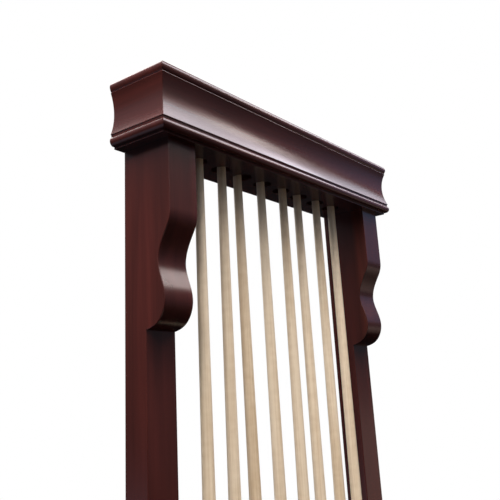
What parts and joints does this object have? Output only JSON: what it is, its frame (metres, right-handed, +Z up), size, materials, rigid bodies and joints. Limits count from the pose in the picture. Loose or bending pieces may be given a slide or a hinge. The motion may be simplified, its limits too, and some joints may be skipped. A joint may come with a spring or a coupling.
{
  "type": "wall cue rack",
  "caption": "Wall-hung wooden cue rack: moulded crown with a drilled plate, two posts with scrolled brackets, and a moulded shelf with cups, holding billiard cues upright.",
  "frame": {"origin": "on the wall plane, at the centre of the rectangle of four hanger keyholes, half way up the bay", "axes": "+X to the right seen from the room, +Y into the wall, +Z up"},
  "size_m": [0.6596, 0.1088, 1.6284],
  "materials": {
    "frame_wood": "red-brown mahogany stain under satin lacquer",
    "carcass_wood": "stained, unpolished",
    "dowel_beech": "plain beech",
    "maple": "clear satin lacquer",
    "butt_wood": "dark hardwood, clear gloss lacquer",
    "ferrule": "polished white ferrule with a leather tip",
    "bumper_rubber": "moulded black rubber",
    "felt": "pressed green felt",
    "hanger_steel": "zinc plated, brushed",
    "screw_steel": "yellow zinc plated"
  },
  "bodies": {
    "rack": {"base_back": "carcass_wood", "base_cap": "frame_wood", "base_front_cove": "frame_wood", "base_glue_blocks": "carcass_wood", "base_left_cove": "frame_wood", "base_right_cove": "frame_wood", "base_shelf": "frame_wood", "bracket_dowels": "dowel_beech", "crown_back": "carcass_wood", "crown_cap": "frame_wood", "crown_front_cove": "frame_wood", "crown_glue_blocks": "carcass_wood", "crown_left_cove": "frame_wood", "crown_right_cove": "frame_wood", "cue_plate": "frame_wood", "cup_pads": "felt", "hanger_plates": "hanger_steel", "hanger_screws": "screw_steel", "left_post": "frame_wood", "lower_left_bracket": "frame_wood", "lower_right_bracket": "frame_wood", "post_dowels": "dowel_beech", "right_post": "frame_wood", "upper_left_bracket": "frame_wood", "upper_right_bracket": "frame_wood"},
    "cue_1": {"cue_1_bumper": "bumper_rubber", "cue_1_butt": "butt_wood", "cue_1_shaft": "maple", "cue_1_tip": "ferrule"},
    "cue_2": {"cue_2_bumper": "bumper_rubber", "cue_2_butt": "butt_wood", "cue_2_shaft": "maple", "cue_2_tip": "ferrule"},
    "cue_3": {"cue_3_bumper": "bumper_rubber", "cue_3_butt": "butt_wood", "cue_3_shaft": "maple", "cue_3_tip": "ferrule"},
    "cue_4": {"cue_4_bumper": "bumper_rubber", "cue_4_butt": "butt_wood", "cue_4_shaft": "maple", "cue_4_tip": "ferrule"},
    "cue_5": {"cue_5_bumper": "bumper_rubber", "cue_5_butt": "butt_wood", "cue_5_shaft": "maple", "cue_5_tip": "ferrule"},
    "cue_6": {"cue_6_bumper": "bumper_rubber", "cue_6_butt": "butt_wood", "cue_6_shaft": "maple", "cue_6_tip": "ferrule"},
    "cue_7": {"cue_7_bumper": "bumper_rubber", "cue_7_butt": "butt_wood", "cue_7_shaft": "maple", "cue_7_tip": "ferrule"},
    "cue_8": {"cue_8_bumper": "bumper_rubber", "cue_8_butt": "butt_wood", "cue_8_shaft": "maple", "cue_8_tip": "ferrule"}
  },
  "joints": [
    {"name": "cue_1_lift", "type": "slide", "parent": "rack", "child": "cue_1", "axis": [0.0018, -0.0023, 1], "range_m": [0, 0.042]},
    {"name": "cue_2_lift", "type": "slide", "parent": "rack", "child": "cue_2", "axis": [0.0017, -0.0022, 1], "range_m": [0, 0.042]},
    {"name": "cue_3_lift", "type": "slide", "parent": "rack", "child": "cue_3", "axis": [-0.0036, 0.0046, 1], "range_m": [0, 0.042]},
    {"name": "cue_4_lift", "type": "slide", "parent": "rack", "child": "cue_4", "axis": [-0.0024, 0.0031, 1], "range_m": [0, 0.042]},
    {"name": "cue_5_lift", "type": "slide", "parent": "rack", "child": "cue_5", "axis": [-0.0006, 0.0008, 1], "range_m": [0, 0.042]},
    {"name": "cue_6_lift", "type": "slide", "parent": "rack", "child": "cue_6", "axis": [-0.0022, 0.0029, 1], "range_m": [0, 0.042]},
    {"name": "cue_7_lift", "type": "slide", "parent": "rack", "child": "cue_7", "axis": [-0.0001, 0, 1], "range_m": [0, 0.042]},
    {"name": "cue_8_lift", "type": "slide", "parent": "rack", "child": "cue_8", "axis": [0, 0, 1], "range_m": [0, 0.042]}
  ]
}
